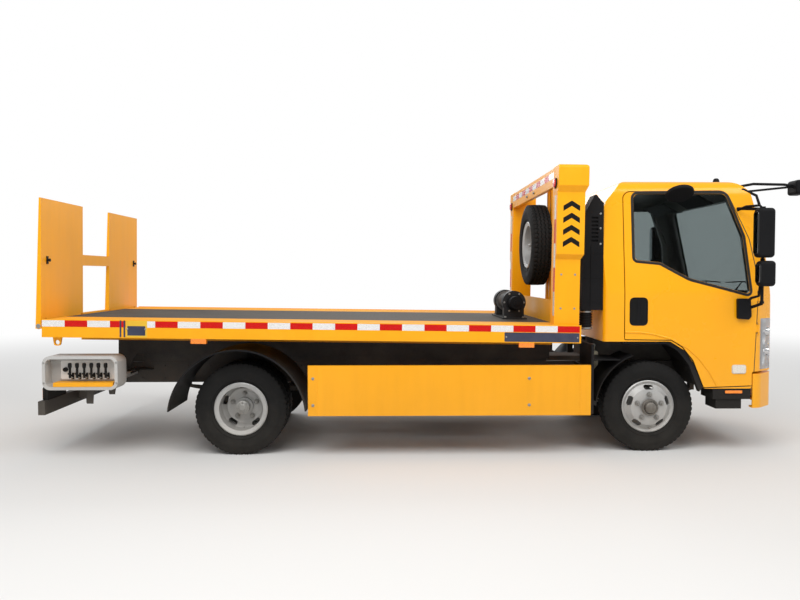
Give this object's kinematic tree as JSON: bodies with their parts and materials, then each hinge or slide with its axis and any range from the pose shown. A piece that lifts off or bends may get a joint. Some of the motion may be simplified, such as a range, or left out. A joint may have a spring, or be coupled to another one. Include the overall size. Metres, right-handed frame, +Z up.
{
  "type": "flatbed tow truck",
  "caption": "Light forward-control truck whose flat bed tilts, slides rearward and folds down a tail ramp to load a vehicle.",
  "frame": {"origin": "on the ground under the middle of the whole truck", "axes": "+X forward, +Y to the truck's left, +Z up"},
  "size_m": [6.236, 2.34, 2.3381],
  "materials": {
    "yellow_paint": "gloss",
    "chassis_black": "satin",
    "engine_grey": "cast",
    "tank_steel": "satin",
    "grey_paint": "satin",
    "red_lens": "gloss",
    "amber_lens": "gloss",
    "black_plastic": "matte",
    "clear_plastic": "translucent",
    "window_glass": "clear",
    "lamp_glass": "clear",
    "dash_plastic": "matte",
    "seat_fabric": "woven",
    "tyre_rubber": "matte",
    "wheel_silver": "satin",
    "deck_grey": "worn",
    "rope_steel": "wound",
    "rod_chrome": "polished"
  },
  "bodies": {
    "chassis": {"frame_rails": "chassis_black", "front_axle": "chassis_black", "rear_axle": "chassis_black", "engine_block": "engine_grey", "exhaust": "tank_steel", "fuel_tank": "tank_steel", "side_guards": "yellow_paint", "rear_bar": "chassis_black", "tail_lamps": "red_lens", "mudguards": "black_plastic", "control_boxes": "grey_paint", "coolant_bottle": "clear_plastic", "tilt_base": "chassis_black"},
    "cab": {"cab_shell": "yellow_paint", "cab_front": "yellow_paint", "front_bumper": "yellow_paint", "cab_glass": "window_glass", "headlamps": "lamp_glass", "dashboard": "dash_plastic", "seats": "seat_fabric", "roof_mirrors": "black_plastic", "snorkel": "black_plastic", "cab_steps": "black_plastic"},
    "door_right": {"door_right": "yellow_paint", "door_glass_right": "window_glass", "door_mirror_right": "black_plastic"},
    "door_left": {"door_left": "yellow_paint", "door_glass_left": "window_glass", "door_mirror_left": "black_plastic"},
    "knuckle_right": {"knuckle_right": "chassis_black"},
    "knuckle_left": {"knuckle_left": "chassis_black"},
    "tie_rod": {"tie_rod": "chassis_black"},
    "front_wheel_right": {"front_tyre_right": "tyre_rubber", "front_rim_right": "wheel_silver"},
    "front_wheel_left": {"front_tyre_left": "tyre_rubber", "front_rim_left": "wheel_silver"},
    "rear_wheels_right": {"rear_tyres_right": "tyre_rubber", "rear_rims_right": "wheel_silver"},
    "rear_wheels_left": {"rear_tyres_left": "tyre_rubber", "rear_rims_left": "wheel_silver"},
    "tilt_frame": {"tilt_frame": "chassis_black"},
    "bed": {"deck_frame": "yellow_paint", "deck_plates": "deck_grey", "headboard": "yellow_paint", "spare_tyre": "tyre_rubber", "spare_rim": "wheel_silver", "winch": "chassis_black", "rail_lamps": "amber_lens"},
    "winch_drum": {"winch_drum": "rope_steel"},
    "ramp": {"ramp": "yellow_paint"},
    "tilt_barrels": {"tilt_barrels": "chassis_black"},
    "tilt_rods": {"tilt_rods": "rod_chrome"}
  },
  "joints": [
    {"name": "cab_tilt", "type": "hinge", "parent": "chassis", "child": "cab", "pos_m": [2.7, 0, 0.64], "axis": [0, 1, 0], "range_deg": [0, 45]},
    {"name": "door_right_swing", "type": "hinge", "parent": "cab", "child": "door_right", "pos_m": [2.702, -0.915, 1.1], "axis": [0, 0, 1], "range_deg": [0, 70]},
    {"name": "door_left_swing", "type": "hinge", "parent": "cab", "child": "door_left", "pos_m": [2.702, 0.915, 1.1], "axis": [0, 0, -1], "range_deg": [0, 70]},
    {"name": "steer_right", "type": "hinge", "parent": "chassis", "child": "knuckle_right", "pos_m": [1.83, -0.6, 0.375], "axis": [0, 0, 1], "range_deg": [-35, 35]},
    {"name": "steer_left", "type": "hinge", "parent": "chassis", "child": "knuckle_left", "pos_m": [1.83, 0.6, 0.375], "axis": [0, 0, 1], "range_deg": [-35, 35]},
    {"name": "tie_rod_swing", "type": "hinge", "parent": "knuckle_left", "child": "tie_rod", "pos_m": [1.65, 0.6, 0.3], "axis": [0, 0, 1], "range_deg": [-35, 35]},
    {"name": "spin_front_right", "type": "hinge", "parent": "knuckle_right", "child": "front_wheel_right", "pos_m": [1.83, -0.752, 0.375], "axis": [0, 1, 0], "continuous": true},
    {"name": "spin_front_left", "type": "hinge", "parent": "knuckle_left", "child": "front_wheel_left", "pos_m": [1.83, 0.752, 0.375], "axis": [0, 1, 0], "continuous": true},
    {"name": "spin_rear_right", "type": "hinge", "parent": "chassis", "child": "rear_wheels_right", "pos_m": [-1.53, -0.7125, 0.375], "axis": [0, 1, 0], "continuous": true},
    {"name": "spin_rear_left", "type": "hinge", "parent": "chassis", "child": "rear_wheels_left", "pos_m": [-1.53, 0.7125, 0.375], "axis": [0, 1, 0], "continuous": true},
    {"name": "bed_tilt", "type": "hinge", "parent": "chassis", "child": "tilt_frame", "pos_m": [-2.65, 0, 0.65], "axis": [0, -1, 0], "range_deg": [0, 12.5]},
    {"name": "bed_slide", "type": "slide", "parent": "tilt_frame", "child": "bed", "axis": [-0.9999, 0, 0.0131], "range_m": [0, 2.25]},
    {"name": "ramp_fold", "type": "hinge", "parent": "bed", "child": "ramp", "pos_m": [-3.06757, 0, 1.0675], "axis": [0, -1, 0], "range_deg": [0, 107]},
    {"name": "winch_turn", "type": "hinge", "parent": "bed", "child": "winch_drum", "pos_m": [0.80774, 0, 1.21879], "axis": [0, 1, 0], "continuous": true},
    {"name": "cylinder_swing", "type": "hinge", "parent": "chassis", "child": "tilt_barrels", "pos_m": [-1.2, 0, 0.6], "axis": [0, -1, 0], "range_deg": [0, 23.7]},
    {"name": "cylinder_stroke", "type": "slide", "parent": "tilt_barrels", "child": "tilt_rods", "axis": [0.9899, 0, 0.1419], "range_m": [0, 0.1225]}
  ],
  "couplings": [
    {"joint": "steer_left", "follows": "steer_right", "ratio": 1},
    {"joint": "tie_rod_swing", "follows": "steer_right", "ratio": -1},
    {"joint": "cylinder_swing", "follows": "bed_tilt", "ratio": 1.8558},
    {"joint": "cylinder_stroke", "follows": "bed_tilt", "m_per_rad": 0.53845}
  ]
}
